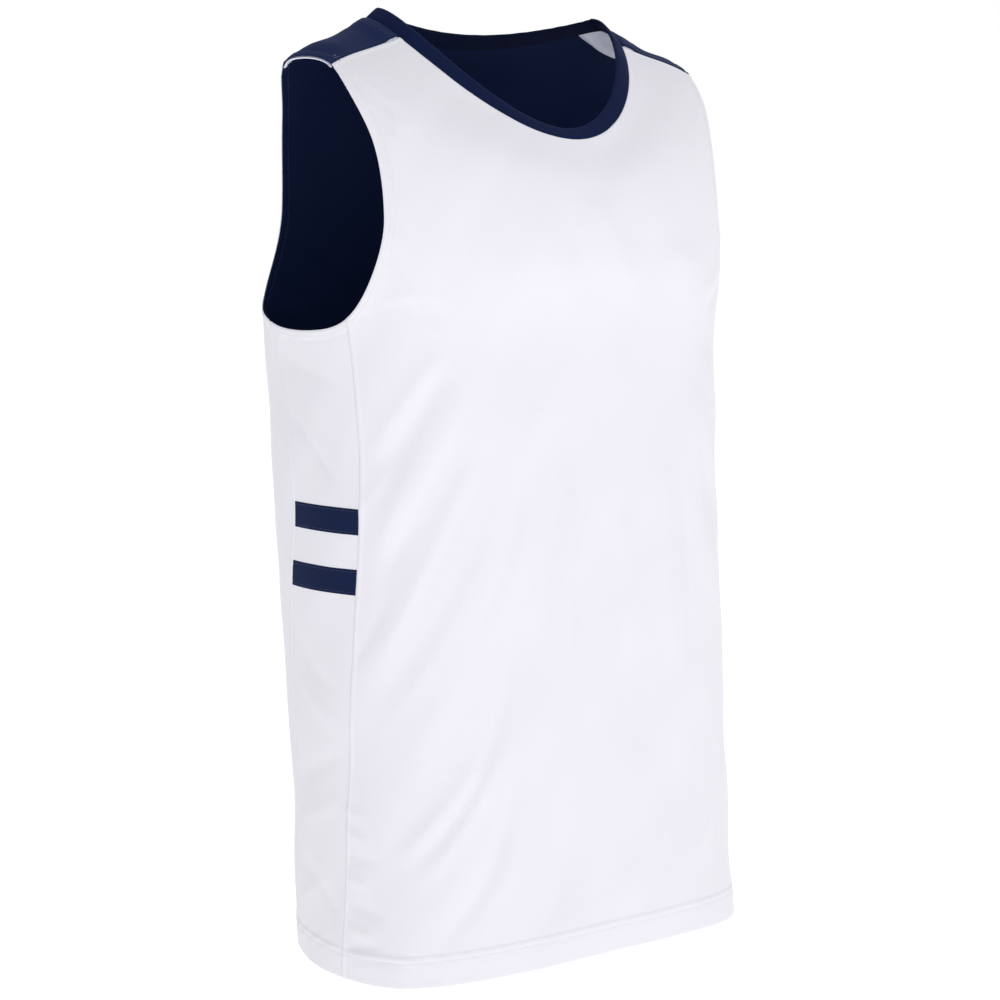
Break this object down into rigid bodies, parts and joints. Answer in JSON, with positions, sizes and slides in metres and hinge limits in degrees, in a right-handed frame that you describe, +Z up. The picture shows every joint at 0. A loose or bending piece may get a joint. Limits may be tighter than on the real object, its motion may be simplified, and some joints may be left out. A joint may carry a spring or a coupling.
{
  "type": "basketball jersey",
  "caption": "Sleeveless reversible basketball jersey of two knit plies, filled out as worn, with contrast shoulder yokes, neckband and striped side panels.",
  "frame": {"origin": "middle between the high points of the shoulders, beside the neck, where the wearer holds the garment up", "axes": "+Z up along the wearer's height, the front faces -Y, +X to the wearer's left"},
  "size_m": [0.3988, 0.2846, 0.7625],
  "materials": {
    "white_knit": "smooth polyester interlock knit with a soft sheen",
    "navy_knit": "smooth polyester interlock knit with a soft sheen",
    "navy_band": "folded knit band, matt",
    "navy_tape": "flat knit tape, matt",
    "white_thread": "spun polyester sewing thread",
    "navy_thread": "spun polyester sewing thread"
  },
  "bodies": {
    "root": {"front_outer": "white_knit", "front_inner": "navy_knit", "back_outer": "white_knit", "back_inner": "navy_knit", "side_outer_right": "white_knit", "side_inner_right": "navy_knit", "side_outer_left": "white_knit", "side_inner_left": "navy_knit", "yoke_outer_right": "navy_knit", "yoke_inner_right": "white_knit", "yoke_outer_left": "navy_knit", "yoke_inner_left": "white_knit", "tape_upper_right": "navy_tape", "tape_lower_right": "navy_tape", "tape_upper_left": "navy_tape", "tape_lower_left": "navy_tape", "neckband": "navy_band"}
  },
  "joints": []
}
